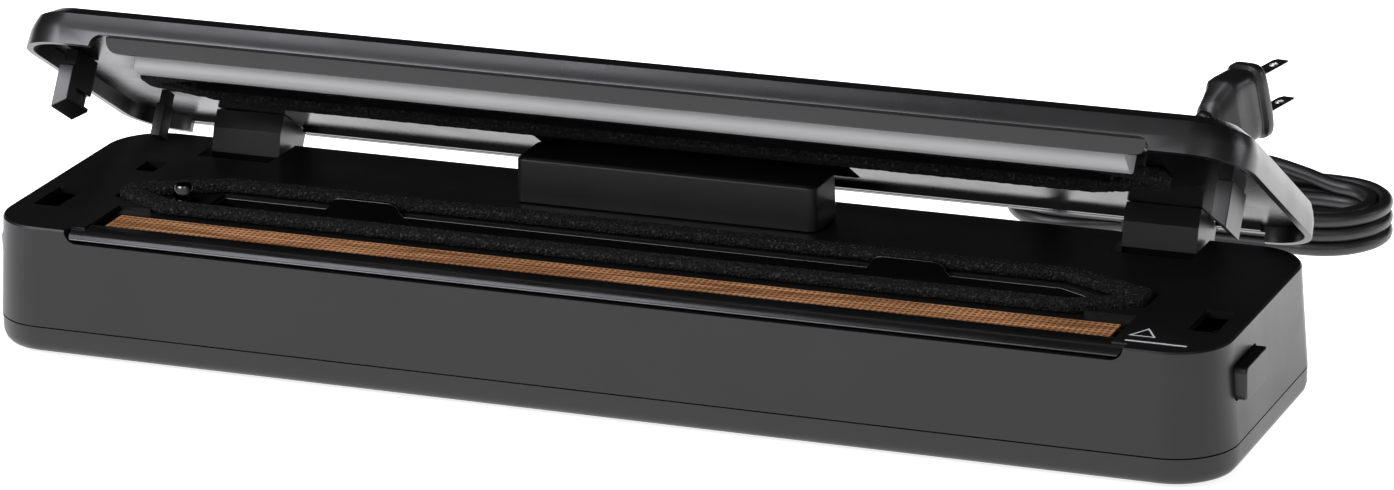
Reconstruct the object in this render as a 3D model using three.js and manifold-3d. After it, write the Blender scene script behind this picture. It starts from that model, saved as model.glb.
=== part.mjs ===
// Counter-top vacuum sealer with its lid standing open.
// Millimetres, +Z up, +X along the length, -Y towards the user.
// All the pieces are laid out from the centre of the base on the table, with the lid closed.
// The lid group is then swung open, and the whole model is moved along Y so that the origin is
// the middle of the footprint that the open sealer takes up.
import * as THREE from 'three';
import { mergeVertices } from 'three/addons/utils/BufferGeometryUtils.js';
import Module from 'manifold-3d';

const wasm = await Module();
wasm.setup();

// ---------------------------------------------------------------- driving dimensions

const LENGTH = 385;          // base, at its top edge
const DEPTH = 98;
const DECK_Z = 40.3;         // top of the deck
const CORNER = 16.8;         // plan radius of the base's top edge
const CORNER_STEPS = 8;      // facets in each large outer corner
const DRAFT = 1.9;           // how far the walls lean out between the deck and the seam
const SEAM_Z = 9.5;          // joint between the upper housing and the bottom cover
const COVER_Z = 1.0;         // underside of the bottom cover
const WALL = 2.2;
const GAP = 0.3;             // clearance between pieces that touch
const MOVE_GAP = 0.6;        // clearance around pieces that move

const FLOOR_Z = 38.8;        // floor of the recess for the bag, gasket and seal bar
const FLOOR_HALF = 160.8;    // half length of that recess at the seal bar
const NOTCH_HALF = 165.6;    // half length of the dip in the front wall
const NOTCH_Z = 36.4;        // lowest edge of that dip

const PIVOT_Y = 46;          // lid hinge axis
const PIVOT_Z = 28.5;
const OPEN_DEG = 32.6;

const LID_GROW = 0.33;       // the lid's rim stands out past the deck's edge by this
const RIM_Z = 42.3;          // lid rim when closed
const PLATE_Z = 46.8;        // underside of the lid's inner plate when closed
const PLATE_THICK = 2;
const CROWN_Z = 58.6;        // top of the closed lid

const STRIP_Y = -32.3;       // middle of the seal bar
const STRIP_WIDTH = 11.4;
const STRIP_HALF = 157.8;
const STRIP_TOP = 38.95;

const GASKET_WIDTH = 6.2;
const LOWER_GASKET_Z = [39.0, 42.1];
const UPPER_GASKET_Z = [42.45, 46.5];

const ARM_X = 148;           // middle of each hinge arm
const ARM_WIDTH = 23;
const PIN_RADIUS = 1.6;

const HOOK_X = [180.3, 185.2];
const HOOK_Y = [-27.8, -12.5];
const HOOK_TIP_Z = 27.6;


const CORD_RADIUS = 2.3;
const HANK = { left: 76, right: 156.8, y: 177.8, outer: 22.2, inner: 12.6, bottom: 0.2, top: 14 };
const TIE = { x: [98, 103], thick: 1 };

// ---------------------------------------------------------------- materials

const finish = (color, roughness, metalness = 0) =>
  new THREE.MeshStandardMaterial({ color, roughness, metalness });

const SATIN_BLACK = finish(0x2b2c2e, 0.42);
const GLOSS_BLACK = finish(0x0c0d0f, 0.16);
const DARK_PART = finish(0x17181a, 0.5);
const FOAM = finish(0x2f2f31, 0.95);
const SILICONE = finish(0x6d7073, 0.45);
const PTFE = finish(0x8a5a34, 0.5);
const STEEL = finish(0xb9bcc0, 0.3, 1);
const NICHROME = finish(0x8f8a84, 0.4, 1);
const BRASS = finish(0xc9a04f, 0.3, 1);
const RUBBER = finish(0x1b1b1c, 0.85);
const BOARD = finish(0x1f5b3a, 0.5);
const COPPER_WOUND = finish(0x9a5a2c, 0.5, 0.4);
const HOSE = finish(0xcfd2d2, 0.4);
const LENS = finish(0xd8e6ef, 0.2);
const CORD_BLACK = finish(0x161617, 0.55);

// ---------------------------------------------------------------- solids

// A closed geometry becomes a solid that can be joined and cut.
function solid(geometry) {
  const bare = geometry.clone();
  bare.deleteAttribute('normal');
  bare.deleteAttribute('uv');
  const merged = mergeVertices(bare, 1e-4);
  const vertProperties = new Float32Array(merged.attributes.position.array);
  const triVerts = new Uint32Array(merged.index.array);
  return new wasm.Manifold(new wasm.Mesh({ numProp: 3, vertProperties, triVerts }));
}

function geometryOf(body) {
  const mesh = body.getMesh();
  const geometry = new THREE.BufferGeometry();
  geometry.setAttribute('position', new THREE.BufferAttribute(mesh.vertProperties, 3));
  geometry.setIndex(new THREE.BufferAttribute(mesh.triVerts, 1));
  geometry.computeVertexNormals();
  return geometry;
}

const joined = (...bodies) => bodies.reduce((sum, body) => sum.add(body));
const cut = (body, ...tools) => tools.reduce((rest, tool) => rest.subtract(tool), body);

// Box from opposite corners.
function box([x0, x1], [y0, y1], [z0, z1]) {
  const geometry = new THREE.BoxGeometry(x1 - x0, y1 - y0, z1 - z0);
  geometry.translate((x0 + x1) / 2, (y0 + y1) / 2, (z0 + z1) / 2);
  return solid(geometry);
}

// Turns an extrusion so that its depth runs along X or Y. Along X the outline is drawn in (y, z),
// and along Y it is drawn in (x, z).
const ALONG_X = new THREE.Matrix4().makeBasis(
  new THREE.Vector3(0, 1, 0), new THREE.Vector3(0, 0, 1), new THREE.Vector3(1, 0, 0));
const ALONG_Y = new THREE.Matrix4().makeBasis(
  new THREE.Vector3(1, 0, 0), new THREE.Vector3(0, 0, 1), new THREE.Vector3(0, -1, 0));

function extrude(shape, from, to, axis = 'z', curveSegments = 3) {
  const depth = to - from;
  const geometry = new THREE.ExtrudeGeometry(shape, { depth, bevelEnabled: false, curveSegments });
  if (axis === 'x') {
    geometry.translate(0, 0, from);
    geometry.applyMatrix4(ALONG_X);
  } else if (axis === 'y') {
    geometry.translate(0, 0, -to);
    geometry.applyMatrix4(ALONG_Y);
  } else {
    geometry.translate(0, 0, from);
  }
  return solid(geometry);
}

const outline = (points) => new THREE.Shape(points.map(([x, y]) => new THREE.Vector2(x, y)));

// Rectangle with round corners, from opposite corners.
function roundedRect([x0, x1], [y0, y1], r) {
  const shape = new THREE.Shape();
  shape.absarc(x1 - r, y1 - r, r, 0, Math.PI / 2);
  shape.absarc(x0 + r, y1 - r, r, Math.PI / 2, Math.PI);
  shape.absarc(x0 + r, y0 + r, r, Math.PI, Math.PI * 1.5);
  shape.absarc(x1 - r, y0 + r, r, Math.PI * 1.5, Math.PI * 2);
  shape.closePath();
  return shape;
}

// A stack of rounded rectangles joined into one block. Each ring is { z, w, d, r }.
function stackedBlock(rings, curveSegments = 4) {
  const first = rings[0];
  const steps = rings.length - 1;
  const shape = roundedRect([-first.w / 2, first.w / 2], [-first.d / 2, first.d / 2], first.r);
  const geometry = new THREE.ExtrudeGeometry(shape, {
    depth: steps, steps, bevelEnabled: false, curveSegments,
  });
  const position = geometry.attributes.position;
  for (let i = 0; i < position.count; i += 1) {
    const { z, w, d, r } = rings[Math.round(position.getZ(i))];
    const x = position.getX(i);
    const y = position.getY(i);
    const cx = Math.sign(x) * (first.w / 2 - first.r);
    const cy = Math.sign(y) * (first.d / 2 - first.r);
    const nx = Math.sign(x) * (w / 2 - r) + ((x - cx) / first.r) * r;
    const ny = Math.sign(y) * (d / 2 - r) + ((y - cy) / first.r) * r;
    position.setXYZ(i, nx, ny, z);
  }
  return solid(geometry);
}

// Rings of one outline that steps inwards. Each entry is [z, inset].
function insetRings(w, d, r, steps) {
  return steps.map(([z, inset]) => ({
    z, w: w - 2 * inset, d: d - 2 * inset, r: Math.max(r - inset, 1),
  }));
}

function cylinder(radius, from, to, [a, b], axis = 'z', segments = 20) {
  const geometry = new THREE.CylinderGeometry(radius, radius, to - from, segments);
  const middle = (from + to) / 2;
  if (axis === 'x') {
    geometry.rotateZ(-Math.PI / 2);
    geometry.translate(middle, a, b);
  } else if (axis === 'y') {
    geometry.translate(a, middle, b);
  } else {
    geometry.rotateX(Math.PI / 2);
    geometry.translate(a, b, middle);
  }
  return solid(geometry);
}

// Turned piece about the vertical axis. The profile is a list of [radius, z] from bottom to top.
function turned(profile, segments = 20) {
  const geometry = new THREE.LatheGeometry(
    profile.map(([r, z]) => new THREE.Vector2(r, z)), segments);
  geometry.rotateX(Math.PI / 2);
  return geometry;
}

// Rod or tube along a curve, with a hole down its middle where bore is given.
function alongCurve(curve, radius, steps, sides = 8, bore = 0) {
  const section = new THREE.Shape();
  section.absarc(0, 0, radius, 0, Math.PI * 2);
  if (bore > 0) {
    const hole = new THREE.Path();
    hole.absarc(0, 0, bore, 0, Math.PI * 2, true);
    section.holes.push(hole);
  }
  return new THREE.ExtrudeGeometry(section, {
    steps, curveSegments: sides / 2, bevelEnabled: false, extrudePath: curve,
  });
}

const vector = ([x, y, z]) => new THREE.Vector3(x, y, z);
const smooth = (points) => new THREE.CatmullRomCurve3(points.map(vector), false, 'centripetal');

class Helix extends THREE.Curve {
  constructor(radius, length, turns) {
    super();
    Object.assign(this, { radius, length, turns });
  }

  getPoint(t, target = new THREE.Vector3()) {
    const angle = t * this.turns * Math.PI * 2;
    return target.set(
      t * this.length, this.radius * Math.cos(angle), this.radius * Math.sin(angle));
  }
}

// ---------------------------------------------------------------- the scene graph

const sealer = new THREE.Group();
const base = new THREE.Group();
const lid = new THREE.Group();
const lidHinge = new THREE.Group();
lid.position.set(0, -PIVOT_Y, -PIVOT_Z);
lidHinge.position.set(0, PIVOT_Y, PIVOT_Z);
lidHinge.rotation.x = -THREE.MathUtils.degToRad(OPEN_DEG);
lidHinge.add(lid);
sealer.add(base, lidHinge);

function addPiece(name, shape, material, parent = base) {
  const geometry = shape.isBufferGeometry ? shape : geometryOf(shape);
  const mesh = new THREE.Mesh(geometry, material);
  mesh.name = name;
  parent.add(mesh);
  return mesh;
}

// What is on one end is mirrored to the other: side is -1 on the left and +1 on the right.
const SIDES = [['left', -1], ['right', 1]];
const across = (side, [near, far]) => (side > 0 ? [near, far] : [-far, -near]);

// ---------------------------------------------------------------- gasket outline

// Long ring with tapered, cut-off ends, counter-clockwise from its front left corner.
const GASKET_OUTLINE = [
  [-146, -23.1], [141, -23.1], [159.8, -13.2], [159.8, -2.6],
  [133.5, 8.7], [-138, 8.7], [-165.4, -4.8], [-165.4, -13.2],
];

// Moves each side of a convex outline outwards by grow, or inwards where it is negative.
function offsetOutline(points, grow) {
  const lines = points.map(([x, y], i) => {
    const [nextX, nextY] = points[(i + 1) % points.length];
    const length = Math.hypot(nextX - x, nextY - y);
    const normal = [(nextY - y) / length, (x - nextX) / length];
    return { normal, reach: normal[0] * x + normal[1] * y + grow };
  });
  return points.map((point, i) => {
    const a = lines[(i + points.length - 1) % points.length];
    const b = lines[i];
    const det = a.normal[0] * b.normal[1] - a.normal[1] * b.normal[0];
    return [
      (a.reach * b.normal[1] - b.reach * a.normal[1]) / det,
      (a.normal[0] * b.reach - b.normal[0] * a.reach) / det,
    ];
  });
}

function gasketRing([bottom, top]) {
  const ring = outline(GASKET_OUTLINE);
  const hole = offsetOutline(GASKET_OUTLINE, -GASKET_WIDTH).reverse();
  ring.holes.push(new THREE.Path(hole.map(([x, y]) => new THREE.Vector2(x, y))));
  return extrude(ring, bottom, top);
}

// ---------------------------------------------------------------- drip tray

const TRAY_OUTLINE = [
  [-137, -15.6], [137.5, -15.6], [144.5, -9.5], [144.5, -5.5], [131, 1.5], [-137, 1.5],
];
const TRAY_WALL = 1.2;
const TRAY_BOTTOM = 33;
const TAB_TOP = 42;
const TABS = [[-102.6, -76.8], [71, 97]];

// Upright finger tab with sloping sides and round upper corners, drawn in (x, z).
function fingerTab([x0, x1]) {
  const lean = 1.4;
  const round = 2.6;
  const shape = new THREE.Shape();
  shape.moveTo(x0, TRAY_BOTTOM + 1);
  shape.lineTo(x1, TRAY_BOTTOM + 1);
  shape.lineTo(x1, FLOOR_Z - 0.6);
  shape.lineTo(x1 - lean, TAB_TOP - round);
  shape.quadraticCurveTo(x1 - lean - 0.4, TAB_TOP, x1 - lean - 1.6 * round, TAB_TOP);
  shape.lineTo(x0 + lean + 1.6 * round, TAB_TOP);
  shape.quadraticCurveTo(x0 + lean + 0.4, TAB_TOP, x0 + lean, TAB_TOP - round);
  shape.lineTo(x0, FLOOR_Z - 0.6);
  shape.closePath();
  return extrude(shape, 1.5 - TRAY_WALL, 1.5, 'y', 5);
}

function dripTray() {
  const outer = extrude(outline(TRAY_OUTLINE), TRAY_BOTTOM, FLOOR_Z - 0.6);
  const inner = extrude(
    outline(offsetOutline(TRAY_OUTLINE, -TRAY_WALL)), TRAY_BOTTOM + TRAY_WALL, FLOOR_Z + 1);
  return joined(cut(outer, inner), ...TABS.map(fingerTab));
}

// ---------------------------------------------------------------- upper housing

const HOUSING_LENGTH = LENGTH + 2 * DRAFT;
const HOUSING_DEPTH = DEPTH + 2 * DRAFT;
const HOUSING_CORNER = CORNER + DRAFT;
const draftAt = (z) => (DRAFT * (z - SEAM_Z)) / (DECK_Z - SEAM_Z);

const SLOT = { x: [177.9, 186.4], y: [-28.6, -10.8] };
const PEG_SLOT = { x: [-172.4, -165.8], y: [11.0, 20.7] };
const BUTTON = { y: [-33.3, -12.1], z: [22.4, 32.5], leftFace: 195.6, rightFace: 196.8 };
const SPRING_RIB = [161, 163.2];
const SCREW_POSTS = [[-176, -38], [176, -38], [-176, 38], [176, 38]];
const GLAND = { x: 100, z: 16 };
const POD = { x: [-47.9, 48.9], y: [17.9, 36.5], top: 54.7 };
const NOZZLE = [-145.5, -8.8];
const WELL_BOTTOM = 31;
const ARM_WELL = { clear: 0.8, wall: 3.5, front: 29.8, floor: 21.5 };

// Dip in the front wall, and the opening behind it that takes the seal bar.
function sealBarOpening() {
  const dip = roundedRect([-NOTCH_HALF, NOTCH_HALF], [NOTCH_Z, DECK_Z + 20], 4);
  return joined(
    extrude(dip, -DEPTH / 2 - 6, -44.6, 'y'),
    box([-FLOOR_HALF, FLOOR_HALF], [-47, -25.6], [SEAM_Z - 2, DECK_Z + 1]),
  );
}

function hingeWell(side) {
  const half = ARM_WIDTH / 2 + ARM_WELL.clear;
  const { wall, front, floor } = ARM_WELL;
  const spanX = across(side, [ARM_X - half - wall, ARM_X + half + wall]);
  const body = box(spanX, [front - 1.8, DEPTH / 2 - 1], [floor - 1.8, DECK_Z - 1]);
  const hollow = box(
    across(side, [ARM_X - half, ARM_X + half]), [front, DEPTH], [floor, DECK_Z + 5]);
  const pinHole = cylinder(
    PIN_RADIUS + GAP, spanX[0] - 1, spanX[1] + 1, [PIVOT_Y, PIVOT_Z], 'x', 16);
  return { body, tools: [hollow, pinHole] };
}

function upperHousing() {
  const outer = stackedBlock(insetRings(HOUSING_LENGTH, HOUSING_DEPTH, HOUSING_CORNER, [
    [SEAM_Z + 0.2, 0], [DECK_Z - 0.5, draftAt(DECK_Z - 0.5)], [DECK_Z, DRAFT + 0.45],
  ]), CORNER_STEPS);
  const cavity = stackedBlock(insetRings(HOUSING_LENGTH, HOUSING_DEPTH, HOUSING_CORNER, [
    [SEAM_Z - 2, WALL], [DECK_Z - WALL, DRAFT + WALL],
  ]));
  const gasketRoom = offsetOutline(GASKET_OUTLINE, 1);
  const floorPan = joined(
    extrude(outline(offsetOutline(gasketRoom, 2)), FLOOR_Z - WALL, DECK_Z - 1),
    box([-FLOOR_HALF - 2, FLOOR_HALF + 2], [-47.5, -23], [FLOOR_Z - WALL, DECK_Z - 1]),
  );
  const trayWell = extrude(
    outline(offsetOutline(TRAY_OUTLINE, 0.4 + 1.6)), WELL_BOTTOM, FLOOR_Z);
  const recess = joined(
    extrude(outline(gasketRoom), FLOOR_Z, DECK_Z + 1),
    box([-FLOOR_HALF, FLOOR_HALF], [-47, -22], [FLOOR_Z, DECK_Z + 1]),
  );
  const trayRoom = extrude(
    outline(offsetOutline(TRAY_OUTLINE, 0.4)), WELL_BOTTOM + 1.6, DECK_Z + 1);
  const posts = SCREW_POSTS.map(([x, y]) =>
    cut(cylinder(3.5, 4, DECK_Z - 1, [x, y], 'z', 16), cylinder(1.4, 3, 16, [x, y], 'z', 10)));
  const wells = SIDES.map(([, side]) => hingeWell(side));
  const springRibs = SIDES.map(([, side]) =>
    box(across(side, SPRING_RIB), [-25, -15], [27, DECK_Z - 1]));
  const sliderGuides = SIDES.flatMap(([, side]) => [[-31.6, -29.6], [-10.2, -8.4]].map((y) =>
    box(across(side, [168, 176]), y, [34.4, DECK_Z - 1])));
  const body = joined(
    cut(outer, cavity), floorPan, trayWell, ...posts, ...wells.map((well) => well.body),
    ...springRibs, ...sliderGuides,
  );

  const hookSlots = SIDES.map(([, side]) =>
    extrude(roundedRect(across(side, SLOT.x), SLOT.y, 0.8), 34, DECK_Z + 1));
  const buttonHoles = SIDES.map(([, side]) => extrude(
    roundedRect([BUTTON.y[0] - 0.4, BUTTON.y[1] + 0.4], [BUTTON.z[0] - 0.4, BUTTON.z[1] + 0.4], 2),
    ...across(side, [188, 200]), 'x'));
  return cut(
    body, recess, sealBarOpening(), trayRoom,
    ...wells.flatMap((well) => well.tools), ...hookSlots, ...buttonHoles,
    extrude(roundedRect(PEG_SLOT.x, PEG_SLOT.y, 0.8), 34, DECK_Z + 1),
    extrude(roundedRect([-34, 35], [22, 32.4], 2), 34, DECK_Z + 1),
    cylinder(3.4, 30, DECK_Z, NOZZLE, 'z', 16),
    cylinder(4.4, 40, 60, [GLAND.x, GLAND.z], 'y', 16),
  );
}

// ---------------------------------------------------------------- bottom cover

const FEET = [[-160, -34], [160, -34], [-160, 34], [160, 34]];
const BAR_SUPPORTS = [-120, -40, 40, 120];
const BOARD_POSTS = [[36, -12], [122, -12], [36, 16], [122, 16]];
const SLIDER_POSTS = [[172, -30.6], [172, -9.3]];
const PUMP_AXIS = [24, 20];
const MOTOR_RADIUS = 13.75;

function bottomCover() {
  const outer = stackedBlock(insetRings(HOUSING_LENGTH, HOUSING_DEPTH, HOUSING_CORNER, [
    [COVER_Z, 3.0], [COVER_Z + 0.6, 1.6], [COVER_Z + 1.8, 0.6], [COVER_Z + 3.5, 0.1],
    [SEAM_Z - 0.2, 0],
  ]), CORNER_STEPS);
  const cavity = stackedBlock(insetRings(HOUSING_LENGTH, HOUSING_DEPTH, HOUSING_CORNER, [
    [COVER_Z + WALL, 4.4], [COVER_Z + WALL + 2, WALL + 0.4], [SEAM_Z + 1, WALL],
  ]));
  const floor = COVER_Z + WALL - 0.5;
  const supports = [
    ...SCREW_POSTS.map(([x, y]) => cylinder(4.4, floor, 3.7, [x, y], 'z', 16)),
    ...BAR_SUPPORTS.map((x) => box([x - 3, x + 3], [-42, -34], [floor, 35.4])),
    ...BOARD_POSTS.map((point) => cylinder(2.5, floor, 7.7, point, 'z', 10)),
    ...SIDES.flatMap(([, side]) => SLIDER_POSTS.map(([x, y]) =>
      cylinder(2, floor, 28.6, [side * x, y], 'z', 10))),
    box([-174, -164], [13, 18], [floor, 20.7]),
    ...[-30, -8].map((x) => cut(
      box([x - 1.2, x + 1.2], [10, 38], [floor, 14]),
      cylinder(MOTOR_RADIUS + GAP, x - 3, x + 3, PUMP_AXIS, 'x', 24))),
  ];
  const feet = FEET.map((point) => cylinder(6.4, 0, COVER_Z + 1, point, 'z', 20));
  const heads = SCREW_POSTS.map((point) => joined(
    cylinder(3.1, 0, 3, point, 'z', 16), cylinder(1.5, 0, 5, point, 'z', 10)));
  const vents = Array.from({ length: 7 }, (_, i) =>
    box([-40 + i * 5, -38 + i * 5], [8, 32], [0, 4]));
  return cut(joined(cut(outer, cavity), ...supports), ...feet, ...heads, ...vents);
}

function coverScrew([x, y]) {
  const screw = turned([
    [0, COVER_Z + 0.3], [2.7, COVER_Z + 0.3], [2.7, 2.6], [1.1, 2.7], [1.1, 13.4], [0, 14.4],
  ], 12);
  screw.translate(x, y, 0);
  return screw;
}

// ---------------------------------------------------------------- seal bar

// Inverted channel whose front edge is a rounded lip that the bag lies over, drawn in (y, z).
function sealBarBase() {
  const section = new THREE.Shape();
  section.moveTo(-46.4, 36);
  section.lineTo(-46.4, 37.3);
  section.lineTo(-48.4, 37.3);
  section.quadraticCurveTo(-49.4, 37.5, -48.6, 38.1);
  section.quadraticCurveTo(-46.2, 39.9, -41.4, 40.1);
  section.quadraticCurveTo(-39.4, 40.15, -38.7, 39.0);
  section.lineTo(-38.7, 37.7);
  section.lineTo(-26, 37.7);
  section.lineTo(-26, 30);
  section.lineTo(-28, 30);
  section.lineTo(-28, 35.7);
  section.lineTo(-44.4, 35.7);
  section.lineTo(-44.4, 30);
  section.lineTo(-46.4, 30);
  section.closePath();
  const half = NOTCH_HALF - 0.6;
  const bar = extrude(section, -half, half, 'x', 4);
  const frontView = extrude(
    roundedRect([-half, half], [30 - 12, DECK_Z + 12], 3.4), -60, -20, 'y');
  const lipEnds = extrude(roundedRect([-half, half], [37.2, DECK_Z + 12], 3), -60, -44.9, 'y');
  const middle = box([-FLOOR_HALF + 0.4, FLOOR_HALF - 0.4], [-60, -20], [20, 60]);
  return bar.intersect(frontView).intersect(joined(lipEnds, middle));
}

function stripPiece(halfLength, width, [bottom, top]) {
  return box([-halfLength, halfLength], [STRIP_Y - width / 2, STRIP_Y + width / 2], [bottom, top]);
}

// ---------------------------------------------------------------- latches and release buttons

const SLIDER_Z = [29, 34];
const SLIDER_ARMS = [[-32, -29.2], [-10.2, -7.4]];
const SLIDER_REACH = [SLIDER_ARMS[0][0], SLIDER_ARMS[1][1]];
const SLIDER_AXIS = [-20, 31];
const NOSE_WIDTH = 4.5;

// Open frame round a hook. Its cross-bar is the nose that holds the hook, and a stub behind the
// nose keeps the spring in place.
function latchSlider(side) {
  const noseEnd = HOOK_X[0] - GAP;
  const nose = box(across(side, [noseEnd - NOSE_WIDTH, noseEnd]), SLIDER_REACH, SLIDER_Z);
  const arms = SLIDER_ARMS.map((y) => box(across(side, [176, 188.6]), y, SLIDER_Z));
  const stub = cylinder(1.6, ...across(side, [172.6, 176]), SLIDER_AXIS, 'x', 10);
  return joined(nose, ...arms, stub);
}

function releaseButton(side) {
  const { y, z, leftFace, rightFace } = BUTTON;
  const face = side > 0 ? rightFace : leftFace;
  const edge = 0.8;
  const foot = 190;
  const cap = roundedRect([y[0] + edge, y[1] - edge], [z[0] + edge, z[1] - edge], 1.4);
  const geometry = new THREE.ExtrudeGeometry(cap, {
    depth: face - foot - 2 * edge, bevelEnabled: true, bevelThickness: edge, bevelSize: edge,
    bevelSegments: 2, curveSegments: 2,
  });
  geometry.translate(0, 0, foot + edge);
  geometry.applyMatrix4(ALONG_X);
  const flange = box([foot - 1.1, foot + 0.4], [y[0] - 1.2, y[1] + 1.2], [z[0] - 1.2, z[1] + 1.2]);
  const button = joined(solid(geometry), flange);
  return side > 0 ? button : button.mirror([1, 0, 0]);
}

// Coil spring that pushes a latch slider back out. It bears on a rib in the housing.
function sliderSpring(side) {
  const coil = alongCurve(new Helix(2.5, 11, 4.5), 0.4, 40, 6);
  coil.translate(SPRING_RIB[1] + 0.6, ...SLIDER_AXIS);
  const spring = solid(coil);
  return side > 0 ? spring : spring.mirror([1, 0, 0]);
}

// ---------------------------------------------------------------- hinge

function hingePin(side) {
  const reach = ARM_WIDTH / 2 + 3.9;
  return cylinder(PIN_RADIUS, ...across(side, [ARM_X - reach, ARM_X + reach]),
    [PIVOT_Y, PIVOT_Z], 'x', 16);
}

function lidSpring(side) {
  const spring = alongCurve(new Helix(2.75, 6.6, 4.5), 0.4, 40, 6);
  spring.translate(ARM_X + 3.4, PIVOT_Y, PIVOT_Z);
  const body = solid(spring);
  return side > 0 ? body : body.mirror([1, 0, 0]);
}

// Arm under the lid, drawn in (y, z) with the lid closed. Its knuckle turns on the pin.
function hingeArm(side) {
  const knuckle = 3.7;
  const shape = new THREE.Shape();
  shape.moveTo(31.5, PLATE_Z - GAP);
  shape.lineTo(31.5, 40.6);
  shape.lineTo(33.8, 33.5);
  shape.lineTo(37.5, 29.2);
  shape.lineTo(43.6, 25.7);
  shape.absarc(PIVOT_Y, PIVOT_Z, knuckle, Math.PI * 1.28, Math.PI * 2);
  shape.lineTo(49.3, 33);
  shape.lineTo(49.1, PLATE_Z - GAP);
  shape.closePath();
  const half = ARM_WIDTH / 2;
  const arm = extrude(shape, ...across(side, [ARM_X - half, ARM_X + half]), 'x', 4);
  const pinHole = cylinder(PIN_RADIUS + GAP, ...across(side, [130, 170]),
    [PIVOT_Y, PIVOT_Z], 'x', 16);
  const springRoom = box(across(side, [ARM_X + 2.4, ARM_X + 13]), [41.5, 52], [20, 33.6]);
  return cut(arm, pinHole, springRoom);
}

// ---------------------------------------------------------------- pod, pump and electrics

function podCover() {
  const [x0, x1] = POD.x;
  const [y0, y1] = POD.y;
  const ring = (z, inset) => ({ z, w: x1 - x0 - 2 * inset, d: y1 - y0 - 2 * inset, r: 2.6 });
  const outer = stackedBlock([
    ring(DECK_Z + GAP, 0), ring(POD.top - 0.9, 0.25), ring(POD.top, 1.1),
  ], 2);
  const inner = stackedBlock([ring(DECK_Z - 1, 2), ring(POD.top - 2, 2.2)], 2);
  return cut(outer, inner).translate([(x0 + x1) / 2, (y0 + y1) / 2, 0]);
}

function vacuumNozzle() {
  const nozzle = turned([
    [1.2, 27], [1.9, 27], [1.9, 31.5], [3, 32.5], [3, 39.0], [4.4, 39.0], [4.4, 39.8],
    [3, 40.2], [3, 43.4], [2.4, 44.4], [1.2, 44.4], [1.2, 27],
  ], 16);
  nozzle.translate(...NOZZLE, 0);
  return nozzle;
}

function airHose() {
  const [x, y] = NOZZLE;
  return alongCurve(smooth([
    [x, y, 31], [x, y, 26], [x + 3, y + 1, 20], [-130, -2, 15.5], [-108, 10, 15],
    [-88, 20, 18], [-76, 24, 20], [-65.5, 24, 20],
  ]), 3.2, 20, 8, 2.3);
}

function pumpHead() {
  const [y, z] = PUMP_AXIS;
  return joined(
    extrude(roundedRect([y - 13, y + 13], [z - 13, z + 13], 2.5), -63.8, -41, 'x', 1),
    extrude(roundedRect([y - 9, y + 9], [z - 9, z + 9], 2), -65, -40, 'x', 1),
    cylinder(1.8, -72, -62, PUMP_AXIS, 'x', 12),
    cylinder(2.2, 32, 35.4, [-52, y], 'z', 12),
  );
}

function pumpMotor() {
  return joined(
    cylinder(MOTOR_RADIUS, -39.6, 2, PUMP_AXIS, 'x', 24),
    cylinder(5, 1, 4.4, PUMP_AXIS, 'x', 16),
    ...[-4, 4].map((offset) =>
      box([1, 7], [PUMP_AXIS[0] + offset - 1.2, PUMP_AXIS[0] + offset + 1.2],
        [PUMP_AXIS[1] + 7, PUMP_AXIS[1] + 7.6])),
  );
}

// Mains board with its relays, capacitors and fuse.
function powerBoard() {
  const board = box([30, 128], [-18, 22], [8, 9.6]);
  const tall = (x, y, w, d, h) => box([x, x + w], [y, y + d], [9.2, 9.6 + h]);
  return joined(
    board,
    tall(84, -14, 15, 11, 13), tall(84, 2, 15, 11, 13), tall(34, -16, 12, 5, 8),
    tall(108, -15, 12, 7, 10),
    cylinder(5, 9.2, 22, [110, 12], 'z', 16),
    cylinder(3.5, 9.2, 19, [121, 4], 'z', 12),
    cylinder(2.4, 50, 70, [-14, 11.2], 'x', 10),
  );
}

function transformer() {
  return joined(
    box([38, 74], [-6, 18], [9.9, 27.5]),
    box([46, 66], [-10, 20.5], [12.5, 25]),
  );
}

function microSwitch() {
  return cut(
    box([-175.4, -162.6], [12.6, 18.4], [21, 28]),
    box([-171, -167.2], [13.6, 17.4], [23.6, 29]),
    ...[-173.6, -164.4].map((x) => cylinder(1, 10, 20, [x, 23], 'y', 10)),
  );
}

const switchPlunger = () => extrude(roundedRect([-170.6, -167.6], [14, 17], 0.6), 24.8, 31);

// ---------------------------------------------------------------- lid

const REAR_EDGE_Z = 45.1;             // the rear wall ends higher, and swings clear of the base
const REAR_EDGE_HALF = 175;
const LID = { w: LENGTH + 2 * LID_GROW, d: DEPTH + 2 * LID_GROW, r: CORNER + LID_GROW };
const lidRings = (steps) => insetRings(LID.w, LID.d, LID.r, steps);
const KEY_ROW_Y = -4;                 // row of buttons on the lid
const BUTTON_ROW = [
  ['seal_button', -34], ['vacuum_seal_button', 0], ['stop_button', 34],
];
const STATUS_LIGHT_X = 55;
const buttonOutline = (x, grow) => roundedRect(
  [x - 11 - grow, x + 11 + grow], [KEY_ROW_Y - 5 - grow, KEY_ROW_Y + 5 + grow], 3 + grow);

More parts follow.
